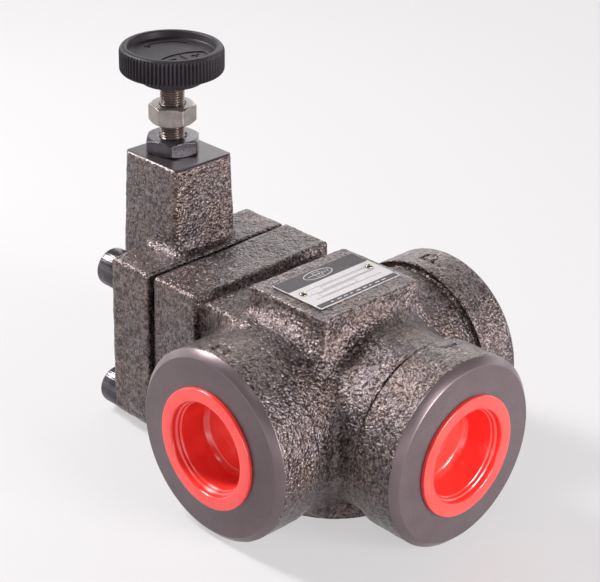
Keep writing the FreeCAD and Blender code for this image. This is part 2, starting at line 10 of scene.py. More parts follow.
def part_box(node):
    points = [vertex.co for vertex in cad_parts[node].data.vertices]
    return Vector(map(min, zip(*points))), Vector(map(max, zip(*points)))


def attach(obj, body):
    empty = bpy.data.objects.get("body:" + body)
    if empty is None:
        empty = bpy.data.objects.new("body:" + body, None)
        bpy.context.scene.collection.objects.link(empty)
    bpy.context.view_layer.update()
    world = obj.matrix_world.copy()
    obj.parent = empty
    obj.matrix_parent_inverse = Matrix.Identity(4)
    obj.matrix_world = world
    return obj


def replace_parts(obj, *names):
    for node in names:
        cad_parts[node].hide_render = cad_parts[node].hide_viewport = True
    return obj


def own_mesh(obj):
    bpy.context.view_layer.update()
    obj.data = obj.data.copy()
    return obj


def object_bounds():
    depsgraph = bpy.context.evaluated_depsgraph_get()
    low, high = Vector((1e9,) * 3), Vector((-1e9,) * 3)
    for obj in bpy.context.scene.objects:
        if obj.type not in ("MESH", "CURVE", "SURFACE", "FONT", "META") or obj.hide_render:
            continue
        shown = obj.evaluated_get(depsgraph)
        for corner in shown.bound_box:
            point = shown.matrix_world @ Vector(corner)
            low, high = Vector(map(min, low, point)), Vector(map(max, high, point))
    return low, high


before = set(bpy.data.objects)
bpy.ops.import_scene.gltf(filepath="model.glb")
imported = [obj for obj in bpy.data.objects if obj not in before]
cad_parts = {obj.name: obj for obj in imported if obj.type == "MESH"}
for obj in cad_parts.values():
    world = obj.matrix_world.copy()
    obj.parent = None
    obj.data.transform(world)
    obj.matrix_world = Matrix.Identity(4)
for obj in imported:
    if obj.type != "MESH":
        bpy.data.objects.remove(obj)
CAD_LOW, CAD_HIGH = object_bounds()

# Looks of a pilot-operated pressure control valve. Lengths are in millimetres from the point where the three
# port axes cross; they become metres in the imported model's frame where a mesh is made. X is the main piston's
# axis (port T at +X), Y the axis of the two ports P.
MM = 0.001
TANK_CAP_LOW, TANK_CAP_HIGH = (np.array(corner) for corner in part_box("port_cap_tank"))
CROSSING = np.array([0.0, 0.0, (TANK_CAP_LOW[2] + TANK_CAP_HIGH[2]) / 2]) / MM


def span(node):
    """Lowest and highest corner of a CAD node, in millimetres from the crossing."""
    low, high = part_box(node)
    return np.array(low) / MM - CROSSING, np.array(high) / MM - CROSSING


def in_frame(points):
    """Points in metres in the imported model's frame."""
    return (np.asarray(points, float) + CROSSING) * MM


BODY_LOW, BODY_HIGH = span("valve_body")
COVER_LOW, COVER_HIGH = span("pilot_cover")
PLATE_LOW, PLATE_HIGH = span("nameplate")
RETAINER_TOP = span("retainer_nut")[1][2]
NUT_LOW, NUT_HIGH = span("lock_nut")
KNOB_LOW, KNOB_HIGH = span("hand_knob")
THREAD_LOW, THREAD_HIGH = span("adjusting_screw")
HEADS_LOW, HEADS_HIGH = span("cover_screws")
VENT_LOW, VENT_HIGH = span("vent_plug")
RIVETS_LOW, RIVETS_HIGH = span("nameplate_rivets")
TOWER_X = (KNOB_LOW[0] + KNOB_HIGH[0]) / 2

# ---- sizes of the castings ----
T_FACE = BODY_HIGH[0]
P_FACE = BODY_HIGH[1]
JOINT_X = BODY_LOW[0]
REST_Z = BODY_LOW[2]
PAD_TOP = BODY_HIGH[2]
TOWER_TOP = COVER_HIGH[2]
BOSS_R = 38.0
BOSS_BACK = 45.5
BOSS_CHAMFER = 2.7
NECK_R = 36.0
SEAM_R = 1.25
LINER_R = 30.0
PORT_DEPTH = 31.0
P_PASSAGE_R = 14.8
T_PASSAGE_R = 18.5
FLANGE_END_X = -40.6
FLANGE_Y = 36.5
BLOCK_BOTTOM = -36.5
BLOCK_DRAFT = 5.4
SHOULDER_END_X = -13.0
SHOULDER_Y = 33.0
SHOULDER_Z = (-34.5, 33.6)
REST_R = 34.5
PAD_X = (-21.3, 18.6)
PAD_Y = 25.2
OUTLINE_BOTTOM = -34.5
FLANGE_TOP = (36.6, 37.6)
COVER_TOP = (36.5, 36.2)
PLATE_X = (-90.4, -67.7)
COVER_Y = 37.2
LAND_INSET = 3.2
TOWER_FRONT_X = -75.3
TOWER_BACK_X = -107.0
TOWER_HALF_Y = 15.1
TOWER_DRAFT = 0.033
REAR_BOTTOM = -15.0
MAIN_BORE_R = 16.0
CHAMBER_R = 21.0
CHAMBER_X = (-21.0, 15.0)
SEAT_X = (21.0, 36.0)
SHOULDER_BORE_R = 16.5
DRAIN_R = 2.0
DRAIN_Z = 28.0
DRAIN_X = 33.0
SCREW_Y = 28.5
SCREW_Z = (26.2, -28.4)
M10_R = 5.0
RIVET_PITCH = 35.6
PILOT_BORE_R = 8.0
PILOT_BORE_Z = (20.0, 57.5)
RETAINER_R = 9.0
PILOT_SEAT_R = 6.0
PILOT_SEAT_Z = 9.0
SPRING_POCKET_R = 9.5
SPRING_POCKET_X = -78.0
VENT_R = 4.86
VENT_HEAD_R = 7.0


# ---- distance fields: negative inside the metal, in millimetres ----
def slab(value, low, high):
    return np.abs(value - (low + high) / 2) - (high - low) / 2


def ramp(value, start, end):
    part = np.clip((value - start) / (end - start), 0.0, 1.0)
    return part * part * (3 - 2 * part)


def join(a, b, radius):
    """Union with a fillet of that radius in the inside corner."""
    bend = np.sqrt(np.maximum(radius - a, 0.0) ** 2 + np.maximum(radius - b, 0.0) ** 2)
    return np.maximum(radius, np.minimum(a, b)) - bend


def meet(a, b, radius):
    """Intersection with the outside corner rounded to that radius."""
    bend = np.sqrt(np.maximum(radius + a, 0.0) ** 2 + np.maximum(radius + b, 0.0) ** 2)
    return np.minimum(-radius, np.maximum(a, b)) + bend


def least(fields):
    result = fields[0]
    for field in fields[1:]:
        result = np.minimum(result, field)
    return result


def outline_field(y, z, half_width, top, inset):
    """The rounded rectangle of flange or cover; top gives its heights at the -Y and the +Y side."""
    sides = meet(np.abs(y) - half_width + inset, OUTLINE_BOTTOM + inset - z, 5.0)
    height = top[0] + (top[1] - top[0]) * (y + half_width) / (2 * half_width)
    return meet(sides, z - height + inset, 1.6)


def stroke(u, v, start, end):
    """Distance from a straight stroke in a plane."""
    du, dv = end[0] - start[0], end[1] - start[1]
    share = np.clip(((u - start[0]) * du + (v - start[1]) * dv) / (du * du + dv * dv), 0.0, 1.0)
    return np.hypot(u - start[0] - share * du, v - start[1] - share * dv)


def letter_p(u, v):
    """A port letter P, 10 high, its stem on u = 0 and its foot at v = 0."""
    bowl = np.abs(np.hypot(np.maximum(u - 2.2, 0.0), v - 7.0) - 2.9) + np.where(u < 0.0, 9.0, 0.0)
    return least([stroke(u, v, (0.0, 0.0), (0.0, 9.9)), bowl])


def letter_t(u, v):
    """A port letter T, 8 high, centred on u = 0."""
    return least([stroke(u, v, (0.0, 0.0), (0.0, 8.0)), stroke(u, v, (-3.4, 8.0), (3.4, 8.0))])


LETTER_DEPTH = 1.1
LETTER_HALF_WIDTH = 0.65
NEAR_LETTER_Y, NEAR_LETTER_FOOT_X = -59.8, 5.5
FAR_LETTER_Y, FAR_LETTER_FOOT_X = 52.6, 5.0
TANK_LETTER_Y, TANK_LETTER_FOOT_X = 5.5, 60.0


def engraving(distance, height):
    """A round-bottomed groove along strokes; height is measured from the surface."""
    depth = np.minimum(height, 0.0) * LETTER_HALF_WIDTH / LETTER_DEPTH
    return np.hypot(distance, depth) - LETTER_HALF_WIDTH


def body_field(x, y, z):
    """Distance from the valve body, and the same for its machined holes alone."""
    across = np.sqrt(y * y + z * z)
    along = np.sqrt(x * x + z * z)
    spread = BLOCK_DRAFT * np.clip((PAD_TOP - z) / PAD_TOP, 0.0, 1.0)
    walls_x = slab(x, PAD_X[0] - spread, PAD_X[1] + spread)
    walls_y = slab(y, -PAD_Y - spread, PAD_Y + spread)
    block = meet(meet(walls_x, walls_y, 1.4), z - PAD_TOP, 0.6)
    block = meet(block, BLOCK_BOTTOM - z, 2.8)
    shoulder = meet(slab(x, FLANGE_END_X - 4.0, SHOULDER_END_X), slab(y, -SHOULDER_Y, SHOULDER_Y), 4.0)
    shoulder = meet(shoulder, slab(z, *SHOULDER_Z), 1.4)
    core = join(block, shoulder, 4.5)
    flange = meet(outline_field(y, z, FLANGE_Y, FLANGE_TOP, 0.0), x - FLANGE_END_X, 1.2)
    core = join(core, np.maximum(flange, FLANGE_END_X - 8.0 - x), 2.0)
    core = np.minimum(core, np.maximum(flange, JOINT_X - x))
    neck_p = np.maximum(along - NECK_R, np.abs(y) - BOSS_BACK - 0.5)
    neck_t = np.maximum(across - NECK_R, slab(x, 0.0, BOSS_BACK + 2.0))
    body = least([join(core, neck_p, 7.0), join(core, neck_t, 8.0), join(neck_p, neck_t, 2.6)])
    rest = np.maximum(np.hypot(x, y) - REST_R, slab(z, REST_Z, BLOCK_BOTTOM + 4.0))
    body = join(body, rest, 1.5)
    boss_p = meet(along - BOSS_R, BOSS_BACK - np.abs(y), 0.8)
    boss_p = np.maximum(boss_p, np.abs(y) - (P_FACE - BOSS_CHAMFER))
    boss_t = meet(across - BOSS_R, BOSS_BACK + 1.0 - x, 0.8)
    boss_t = np.maximum(boss_t, x - (T_FACE - BOSS_CHAMFER))
    body = np.minimum(body, np.minimum(boss_p, boss_t))
    seam_p = np.hypot(along - NECK_R - 0.2, (np.abs(y) - BOSS_BACK + 0.3) * 0.9) - SEAM_R
    seam_t = np.hypot(across - NECK_R - 0.2, (x - BOSS_BACK - 0.7) * 0.9) - SEAM_R
    body = meet(body, -np.minimum(seam_p, seam_t), 0.4)
    near = letter_p(y - NEAR_LETTER_Y, NEAR_LETTER_FOOT_X - x)
    far = letter_p(y - FAR_LETTER_Y, FAR_LETTER_FOOT_X - x)
    tank = letter_t(y - TANK_LETTER_Y, TANK_LETTER_FOOT_X - x)
    above_p, above_t = along - BOSS_R, across - BOSS_R
    marks = least([engraving(near, above_p), engraving(far, above_p), engraving(tank, above_t)])
    body = np.maximum(body, -np.where(z > 0.0, marks, 5.0))
    rivet_y = np.abs(y - (PLATE_LOW[1] + PLATE_HIGH[1]) / 2) - RIVET_PITCH / 2
    rivet_holes = np.hypot(x - (PLATE_LOW[0] + PLATE_HIGH[0]) / 2, rivet_y) - 1.1
    holes = least([
        np.maximum(along - P_PASSAGE_R, np.abs(y) - P_FACE + PORT_DEPTH - 1.0),
        np.maximum(along - LINER_R + 0.1, P_FACE - PORT_DEPTH - 0.1 - np.abs(y)),
        np.maximum(across - T_PASSAGE_R, slab(x, SEAT_X[0], SEAT_X[1] + 2.0)),
        np.maximum(across - LINER_R + 0.1, T_FACE - PORT_DEPTH - 0.1 - x),
        np.maximum(across - MAIN_BORE_R, x - CHAMBER_X[0] - 1.0),
        np.maximum(across - CHAMBER_R, slab(x, *CHAMBER_X)),
        np.maximum(across - SHOULDER_BORE_R, slab(x, CHAMBER_X[1] - 1.0, SEAT_X[0] + 1.0)),
        np.maximum(np.hypot(y, z - DRAIN_Z) - DRAIN_R, x - DRAIN_X - 5.0),
        np.maximum(np.hypot(x - DRAIN_X, y) - DRAIN_R, slab(z, 0.0, DRAIN_Z)),
        np.maximum(rivet_holes, PAD_TOP - 5.5 - z),
    ] + [
        np.maximum(np.hypot(np.abs(y) - SCREW_Y, z - height) - M10_R - 0.1, x + 46.5) for height in SCREW_Z
    ])
    machined = least([holes, z - REST_Z, x - JOINT_X])
    return np.maximum(body, -holes), machined


def cover_field(x, y, z):
    """Distance from the pilot cover, and the same for its machined faces and holes."""
    across = np.sqrt(y * y + z * z)
    axis = np.hypot(x - TOWER_X, y)
    plate = outline_field(y, z, COVER_Y, COVER_TOP, 0.0)
    plate = meet(plate, PLATE_X[0] - x, 2.0)
    rise = (TOWER_TOP - z) * TOWER_DRAFT
    tower_x = slab(x, TOWER_BACK_X - rise * 0.5, TOWER_FRONT_X + rise)
    tower = meet(tower_x, slab(y, -TOWER_HALF_Y - rise, TOWER_HALF_Y + rise), 2.4)
    tower = meet(tower, z - TOWER_TOP, 0.35)
    tower = meet(tower, REAR_BOTTOM - z, 4.0)
    tower = np.maximum(tower, TOWER_BACK_X - 1.2 - x)
    cover = join(plate, tower, 3.4)
    cover = meet(cover, x - PLATE_X[1], 1.2)
    land = outline_field(y, z, FLANGE_Y, COVER_TOP, LAND_INSET)
    land = np.maximum(land, slab(x, PLATE_X[1] - 3.0, JOINT_X))
    cover = np.minimum(cover, land)
    back = TOWER_BACK_X - 1.2
    holes = least([
        np.maximum(across - SPRING_POCKET_R, SPRING_POCKET_X - x),
        np.maximum(across - VENT_R - 0.02, x - back - 9.0),
        np.maximum(across - VENT_HEAD_R - 0.3, x - back - 0.5),
        np.maximum(across - DRAIN_R, x - SPRING_POCKET_X),
        np.maximum(axis - DRAIN_R, slab(z, 0.0, PILOT_SEAT_Z + 1.0)),
        np.maximum(axis - PILOT_SEAT_R - 0.02, slab(z, PILOT_SEAT_Z, PILOT_BORE_Z[0] + 1.0)),
        np.maximum(axis - PILOT_BORE_R, slab(z, *PILOT_BORE_Z)),
        np.maximum(axis - RETAINER_R - 0.02, PILOT_BORE_Z[1] - z),
        np.maximum(np.hypot(y, z - DRAIN_Z) - DRAIN_R, TOWER_X - x),
    ] + [
        np.hypot(np.abs(y) - SCREW_Y, z - height) - M10_R - 0.5 for height in SCREW_Z
    ])
    machined = least([holes, TOWER_TOP - z, JOINT_X - x])
    return np.maximum(cover, -holes), machined


# ---- meshing a field ----
CUBE_CORNERS = list(product((0, 1), repeat=3))
CUBE_EDGES = [(a, b) for a in CUBE_CORNERS for b in CUBE_CORNERS if sum(b) == sum(a) + 1
              and sum(abs(p - q) for p, q in zip(a, b)) == 1]


def surface_net(values, low, step):
    """One point per grid cell that the surface crosses, and one quad per crossed grid edge."""
    inside = values < 0
    size = np.array(values.shape)
    count = np.zeros(size - 1, np.int8)
    for i, j, k in CUBE_CORNERS:
        count += inside[i:size[0] - 1 + i, j:size[1] - 1 + j, k:size[2] - 1 + k]
    crossed = (count > 0) & (count < 8)
    cells = np.argwhere(crossed)
    index = np.full(crossed.shape, -1, np.int64)
    index[crossed] = np.arange(len(cells))
    total = np.zeros((len(cells), 3))
    hits = np.zeros(len(cells))
    corner_values = {c: values[tuple((cells + c).T)] for c in CUBE_CORNERS}
    for a, b in CUBE_EDGES:
        va, vb = corner_values[a], corner_values[b]
        cut = (va < 0) != (vb < 0)
        share = va[cut] / (va[cut] - vb[cut])
        total[cut] += np.array(a) + share[:, None] * (np.array(b) - np.array(a))
        hits[cut] += 1
    points = low + step * (cells + total / hits[:, None])
    quads = []
    for axis in range(3):
        first, second = [other for other in range(3) if other != axis]
        ahead = np.take(inside, range(1, size[axis]), axis)
        here = np.take(inside, range(size[axis] - 1), axis)
        edges = np.argwhere(ahead != here)
        edges = edges[(edges[:, first] > 0) & (edges[:, second] > 0)]
        edges = edges[(edges[:, first] < size[first] - 1) & (edges[:, second] < size[second] - 1)]
        leaving = here[tuple(edges.T)]
        corners = []
        for back_first, back_second in ((1, 1), (0, 1), (0, 0), (1, 0)):
            cell = edges.copy()
            cell[:, first] -= back_first
            cell[:, second] -= back_second
            corners.append(index[tuple(cell.T)])
        quad = np.stack(corners, 1)
        turned = leaving if axis != 1 else ~leaving
        quads.append(np.where(turned[:, None], quad, quad[:, ::-1]))
    return points, np.concatenate(quads)


def slope(field, points, reach=0.05):
    """Gradient of the field at the points."""
    columns = []
    for axis in range(3):
        offset = np.zeros(3)
        offset[axis] = reach
        ahead = field(*(points + offset).T)[0]
        behind = field(*(points - offset).T)[0]
        columns.append((ahead - behind) / (2 * reach))
    return np.stack(columns, 1)


def lattice_noise(points, spacing, seed):
    """Smooth values between -1 and 1 that wander over the given spacing."""
    side = 64
    table = np.random.default_rng(seed).uniform(-1, 1, (side, side, side))
    place = points / spacing
    cell = np.floor(place).astype(int)
    part = place - cell
    part = part * part * (3 - 2 * part)
    total = np.zeros(len(points))
    for corner in CUBE_CORNERS:
        weight = np.prod(np.where(corner, part, 1 - part), 1)
        total += weight * table[tuple(((cell + corner) % side).T)]
    return total


def cast_skin(field, low, high, step, seed):
    """Points and quads of a casting with the swells of sand-cast skin, and how rough each point is."""
    low = np.array(low) - 2.5 * step
    high = np.array(high) + 2.5 * step
    lines = [np.arange(low[axis], high[axis] + step, step) for axis in range(3)]
    points, quads = surface_net(field(*np.ix_(*lines))[0], low, step)
    for _ in range(4):
        value = field(*points.T)[0]
        way = slope(field, points)
        steep = np.maximum((way * way).sum(1), 0.25)
        move = np.clip(value / steep, -0.4 * step, 0.4 * step)
        points = points - move[:, None] * way
    machined = field(*points.T)[1]
    rough = ramp(machined, 0.25, 1.0)
    way = slope(field, points, 0.3)
    way /= np.maximum(np.linalg.norm(way, axis=1), 1e-6)[:, None]
    height = 0.10 * lattice_noise(points, 1.5, seed)
    height += 0.12 * lattice_noise(points, 3.3, seed + 1)
    height += 0.16 * lattice_noise(points, 9.0, seed + 2)
    points = points + (rough * height)[:, None] * way
    return points, quads, rough


# ---- making Blender objects ----
def new_object(name, mesh, material, body):
    obj = bpy.data.objects.new(name, mesh)
    bpy.context.scene.collection.objects.link(obj)
    mesh.materials.append(material)
    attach(obj, body)
    return obj


def quad_mesh(name, points, quads, rough):
    """A smooth mesh from many quads, with how rough the cast skin is at each point."""
    mesh = bpy.data.meshes.new(name)
    mesh.vertices.add(len(points))
    mesh.vertices.foreach_set("co", in_frame(points).astype(np.float32).ravel())
    mesh.loops.add(quads.size)
    mesh.loops.foreach_set("vertex_index", quads.astype(np.int32).ravel())
    mesh.polygons.add(len(quads))
    mesh.polygons.foreach_set("loop_start", np.arange(0, quads.size, 4, dtype=np.int32))
    mesh.polygons.foreach_set("use_smooth", np.ones(len(quads), bool))
    mesh.update(calc_edges=True)
    layer = mesh.attributes.new("cast_skin", "FLOAT", "POINT")
    layer.data.foreach_set("value", rough.astype(np.float32))
    return mesh


def finish_mesh(name, points, faces, smooth_deg):
    """A mesh with outward faces, smooth except at edges sharper than smooth_deg."""
    mesh = bpy.data.meshes.new(name)
    mesh.from_pydata([tuple(p) for p in in_frame(points)], [], faces)
    mesh.update()
    work = bmesh.new()
    work.from_mesh(mesh)
    bmesh.ops.recalc_face_normals(work, faces=work.faces)
    work.to_mesh(mesh)
    work.free()
    for polygon in mesh.polygons:
        polygon.use_smooth = True
    mesh.set_sharp_from_angle(angle=math.radians(smooth_deg))
    return mesh


def piece(name, points, faces, material, body, slot, smooth_deg=32.0):
    return new_object(name, finish_mesh(name, points, faces, smooth_deg), material, body)


def soften(obj, width_mm, angle_deg=32.0, segments=2):
    """Small rounded edges, as every real edge has."""
    bevel = obj.modifiers.new("edges", "BEVEL")
    bevel.width = width_mm * MM
    bevel.segments = segments
    bevel.limit_method = "ANGLE"
    bevel.angle_limit = math.radians(angle_deg)
    bevel.harden_normals = True
    return obj


def ring_mesh_data(rings, closed):
    """Faces between rings; closed joins the last ring to the first, otherwise the ends are capped."""
    count = len(rings[0])
    points = np.concatenate(rings)
    faces = []
    pairs = len(rings) if closed else len(rings) - 1
    for ring in range(pairs):
        start, end = ring * count, ((ring + 1) % len(rings)) * count
        for i in range(count):
            j = (i + 1) % count
            faces.append((start + i, start + j, end + j, end + i))
    if not closed:
        faces.append(tuple(range(count))[::-1])
        faces.append(tuple(range((len(rings) - 1) * count, len(rings) * count)))
    return points, faces


def angles(count):
    return np.linspace(0.0, 2 * math.pi, count, endpoint=False)


def ring_z(radius, height, turn, x=0.0, y=0.0):
    """A ring about Z; radius and height may vary with the angle."""
    return np.stack([x + radius * np.cos(turn), y + radius * np.sin(turn), height + 0.0 * turn], 1)


def turned_rings(profile, turn):
    return [ring_z(radius, height, turn) for radius, height in profile]


AIM = {
    "tank": lambda p: np.stack([p[:, 2], p[:, 1], -p[:, 0]], 1),
    "near": lambda p: np.stack([p[:, 0], -p[:, 2], p[:, 1]], 1),
    "far": lambda p: np.stack([p[:, 0], p[:, 2], -p[:, 1]], 1),
}


def rounded(profile, radius, steps=3):
    """A (radius, height) profile whose corners are replaced by small arcs where there is room."""
    result = []
    count = len(profile)
    for i in range(count):
        before, here, after = (np.array(profile[k % count], float) for k in (i - 1, i, i + 1))
        one, two = before - here, after - here
        length_one, length_two = np.linalg.norm(one), np.linalg.norm(two)
        reach = min(radius, 0.45 * length_one, 0.45 * length_two)
        if reach < 0.02:
            result.append(tuple(here))
            continue
        start, end = here + one / length_one * reach, here + two / length_two * reach
        for share in np.linspace(0.0, 1.0, steps + 1):
            point = (1 - share) ** 2 * start + 2 * share * (1 - share) * here + share ** 2 * end
            result.append(tuple(point))
    return result


# ---- materials ----
def node_material(name):
    material = bpy.data.materials.new(name)
    material.use_nodes = True
    tree = material.node_tree
    shader = tree.nodes["Principled BSDF"]
    return material, tree, shader


def feed(tree, node, inputs):
    """Sets a node's inputs to values, or links them to the outputs of other nodes."""
    for key, value in inputs.items():
        if isinstance(value, bpy.types.NodeSocket):
            tree.links.new(value, node.inputs[key])
        else:
            node.inputs[key].default_value = value


def add(tree, kind, inputs=None, **settings):
    node = tree.nodes.new(kind)
    for key, value in settings.items():
        setattr(node, key, value)
    feed(tree, node, inputs or {})
    return node


def place_in_mm(tree):
    """Object coordinates in millimetres."""
    where = add(tree, "ShaderNodeTexCoord").outputs["Object"]
    return add(tree, "ShaderNodeVectorMath", {0: where, 1: (1000.0,) * 3}, operation="MULTIPLY").outputs[0]


def noise(tree, place, size_mm, detail=3.0, roughness=0.55):
    node = add(tree, "ShaderNodeTexNoise", {"Vector": place, "Scale": 1.0 / size_mm, "Detail": detail,
                                            "Roughness": roughness})
    return node.outputs["Fac"]


def mapped(tree, value, low, high, out_low, out_high):
    node = add(tree, "ShaderNodeMapRange", {"Value": value, "From Min": low, "From Max": high,
                                            "To Min": out_low, "To Max": out_high})
    return node.outputs["Result"]


def mixed(tree, share, first, second):
    return add(tree, "ShaderNodeMix", {0: share, 6: first, 7: second}, data_type="RGBA").outputs[2]


def maths(tree, operation, first, second):
    return add(tree, "ShaderNodeMath", {0: first, 1: second}, operation=operation).outputs[0]


def weighed(tree, first, first_weight, second, second_weight):
    """The sum of two values, each times its weight."""
    return maths(tree, "ADD", maths(tree, "MULTIPLY", first, first_weight),
                 maths(tree, "MULTIPLY", second, second_weight))


def bump(tree, height, depth_mm, strength=1.0):
    node = add(tree, "ShaderNodeBump", {"Height": height, "Distance": depth_mm * MM, "Strength": strength})
    return node.outputs["Normal"]


def cast_iron():
    """Dark sand casting: packed grains with a thin gloss, and smoother dull grey where it is machined."""
    material, tree, shader = node_material("cast_iron")
    place = place_in_mm(tree)
    skin = add(tree, "ShaderNodeAttribute", attribute_name="cast_skin").outputs["Fac"]
    warp = add(tree, "ShaderNodeTexNoise", {"Vector": place, "Scale": 0.9, "Detail": 2.0})
    bent = add(tree, "ShaderNodeVectorMath", {0: warp.outputs["Color"], 1: (0.9,) * 3, 2: place},
               operation="MULTIPLY_ADD").outputs[0]
    grains = add(tree, "ShaderNodeTexVoronoi", {"Vector": bent, "Scale": 0.9, "Smoothness": 0.35},
                 feature="SMOOTH_F1").outputs["Distance"]
    crumbs = noise(tree, place, 0.9, 3.0, 0.6)
    lumps = noise(tree, place, 2.6, 3.0, 0.5)
    patches = noise(tree, place, 14.0, 3.0, 0.6)
    height = weighed(tree, crumbs, 1.3, grains, -1.1)
    height = weighed(tree, height, 1.0, lumps, 1.1)
    height = maths(tree, "MULTIPLY", height, skin)
    grain_normal = bump(tree, height, 0.34, 1.0)
    tone = weighed(tree, crumbs, 0.7, lumps, 0.5)
    tone = weighed(tree, tone, 1.0, grains, -0.35)
    tone = mapped(tree, tone, 0.30, 0.66, 0.0, 1.0)
    cold = mixed(tree, tone, (0.022, 0.011, 0.013, 1), (0.222, 0.176, 0.182, 1))
    warm = mixed(tree, tone, (0.030, 0.014, 0.012, 1), (0.235, 0.176, 0.158, 1))
    colour = mixed(tree, mapped(tree, patches, 0.4, 0.62, 0.0, 1.0), cold, warm)
    smooth_iron = mixed(tree, crumbs, (0.050, 0.040, 0.043, 1), (0.065, 0.053, 0.056, 1))
    rough = mapped(tree, crumbs, 0.3, 0.7, 0.24, 0.36)
    feed(tree, shader, {
        "Base Color": mixed(tree, skin, smooth_iron, colour),
        "Roughness": add(tree, "ShaderNodeMix", {0: skin, 2: 0.42, 3: rough}, data_type="FLOAT").outputs[0],
        "Normal": grain_normal,
        "Coat Normal": grain_normal,
        "Metallic": 0.75,
        "Coat Weight": 0.3,
        "Coat Roughness": 0.22,
    })
    return material


def machined_iron():
    """Faced and chamfered port ends: dull grey with fine turning marks."""
    material, tree, shader = node_material("machined_iron")
    place = place_in_mm(tree)
    fine = noise(tree, place, 0.35, 3.0, 0.6)
    broad = noise(tree, place, 9.0, 3.0, 0.55)
    share = mapped(tree, weighed(tree, fine, 0.35, broad, 0.65), 0.35, 0.65, 0.0, 1.0)
    feed(tree, shader, {
        "Base Color": mixed(tree, share, (0.110, 0.081, 0.088, 1), (0.130, 0.098, 0.105, 1)),
        "Roughness": mapped(tree, fine, 0.3, 0.7, 0.26, 0.36),
        "Normal": bump(tree, fine, 0.02, 0.6),
        "Metallic": 0.6,
    })
    return material


def metal(name, dark, light, rough, metallic, grain_mm, depth_mm):
    """Plated, oxided or bare metal with a faint mottled tone and fine scratches."""
    material, tree, shader = node_material(name)
    place = place_in_mm(tree)
    mottle = noise(tree, place, grain_mm * 6, 4.0, 0.6)
    fine = noise(tree, place, grain_mm, 3.0, 0.6)
    share = mapped(tree, weighed(tree, mottle, 0.7, fine, 0.3), 0.35, 0.65, 0.0, 1.0)
    feed(tree, shader, {
        "Base Color": mixed(tree, share, dark + (1,), light + (1,)),
        "Roughness": mapped(tree, mottle, 0.3, 0.7, rough * 0.85, rough * 1.2),
        "Normal": bump(tree, fine, depth_mm, 0.5),
        "Metallic": metallic,
    })
    return material


def plastic(name, dark, light, rough, depth_mm, subsurface=0.0, grain_mm=0.4, gloss=0.5):
    """Moulded plastic: nearly even colour, fine spark-eroded or gloss texture."""
    material, tree, shader = node_material(name)
    place = place_in_mm(tree)
    fine = noise(tree, place, grain_mm, 3.0, 0.6)
    broad = noise(tree, place, 8.0, 2.0, 0.5)
    share = mapped(tree, broad, 0.35, 0.65, 0.0, 1.0)
    feed(tree, shader, {
        "Base Color": mixed(tree, share, dark + (1,), light + (1,)),
        "Roughness": mapped(tree, fine, 0.3, 0.7, rough * 0.85, rough * 1.15),
        "Normal": bump(tree, fine, depth_mm, 0.5),
        "Specular IOR Level": gloss,
        "Subsurface Weight": subsurface,
        "Subsurface Radius": (0.004, 0.001, 0.001),
    })
    return material


CAST = cast_iron()
MACHINED = machined_iron()
BLACK_OXIDE = metal("black_oxide", (0.050, 0.043, 0.050), (0.085, 0.075, 0.084), 0.24, 0.75, 0.5, 0.012)
ZINC = metal("zinc_steel", (0.19, 0.165, 0.155), (0.29, 0.26, 0.245), 0.36, 0.85, 0.5, 0.02)
BARE_STEEL = metal("bare_steel", (0.085, 0.064, 0.058), (0.16, 0.125, 0.112), 0.34, 0.85, 0.4, 0.02)
GROUND_STEEL = metal("ground_steel", (0.42, 0.40, 0.38), (0.55, 0.53, 0.50), 0.25, 1.0, 0.4, 0.008)
SPRING_STEEL = metal("spring_steel", (0.22, 0.22, 0.235), (0.33, 0.33, 0.345), 0.30, 0.9, 0.5, 0.01)
RIVET_BRASS = metal("rivet_brass", (0.26, 0.25, 0.17), (0.38, 0.36, 0.27), 0.22, 1.0, 0.4, 0.01)
BRASS = metal("brass", (0.48, 0.34, 0.16), (0.66, 0.50, 0.27), 0.28, 1.0, 0.5, 0.01)
RUBBER = plastic("seal_rubber", (0.012, 0.012, 0.013), (0.022, 0.022, 0.023), 0.55, 0.01)
KNOB_PLASTIC = plastic("knob_plastic", (0.014, 0.011, 0.014), (0.020, 0.016, 0.020), 0.46, 0.02,
                       grain_mm=0.3, gloss=0.14)
CAP_PLASTIC = plastic("cap_plastic", (0.74, 0.032, 0.026), (0.80, 0.042, 0.033), 0.17, 0.004,
                      subsurface=0.04, grain_mm=1.2, gloss=0.9)


# ---- castings ----
CAST_STEP = 0.72


def casting(name, node, field, low, high, seed):
    """The visible skin of a casting; nothing of it reaches below the rest face."""
    points, quads, rough = cast_skin(field, low, high, CAST_STEP, seed)
    points[:, 2] = np.maximum(points[:, 2], REST_Z)
    obj = new_object(name, quad_mesh(name, points, quads, rough), CAST, "valve")
    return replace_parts(obj, node)


casting("valve_body_casting", "valve_body", body_field, BODY_LOW, BODY_HIGH, 11)
casting("pilot_cover_casting", "pilot_cover", cover_field, COVER_LOW, COVER_HIGH, 29)


# ---- machined port ends ----
PORT_MAJOR_R = 20.955
PORT_MINOR_R = 19.475
PORT_PITCH = 2.309
PORT_THREADS = 7
PORT_THREAD_DEPTH = 17.0


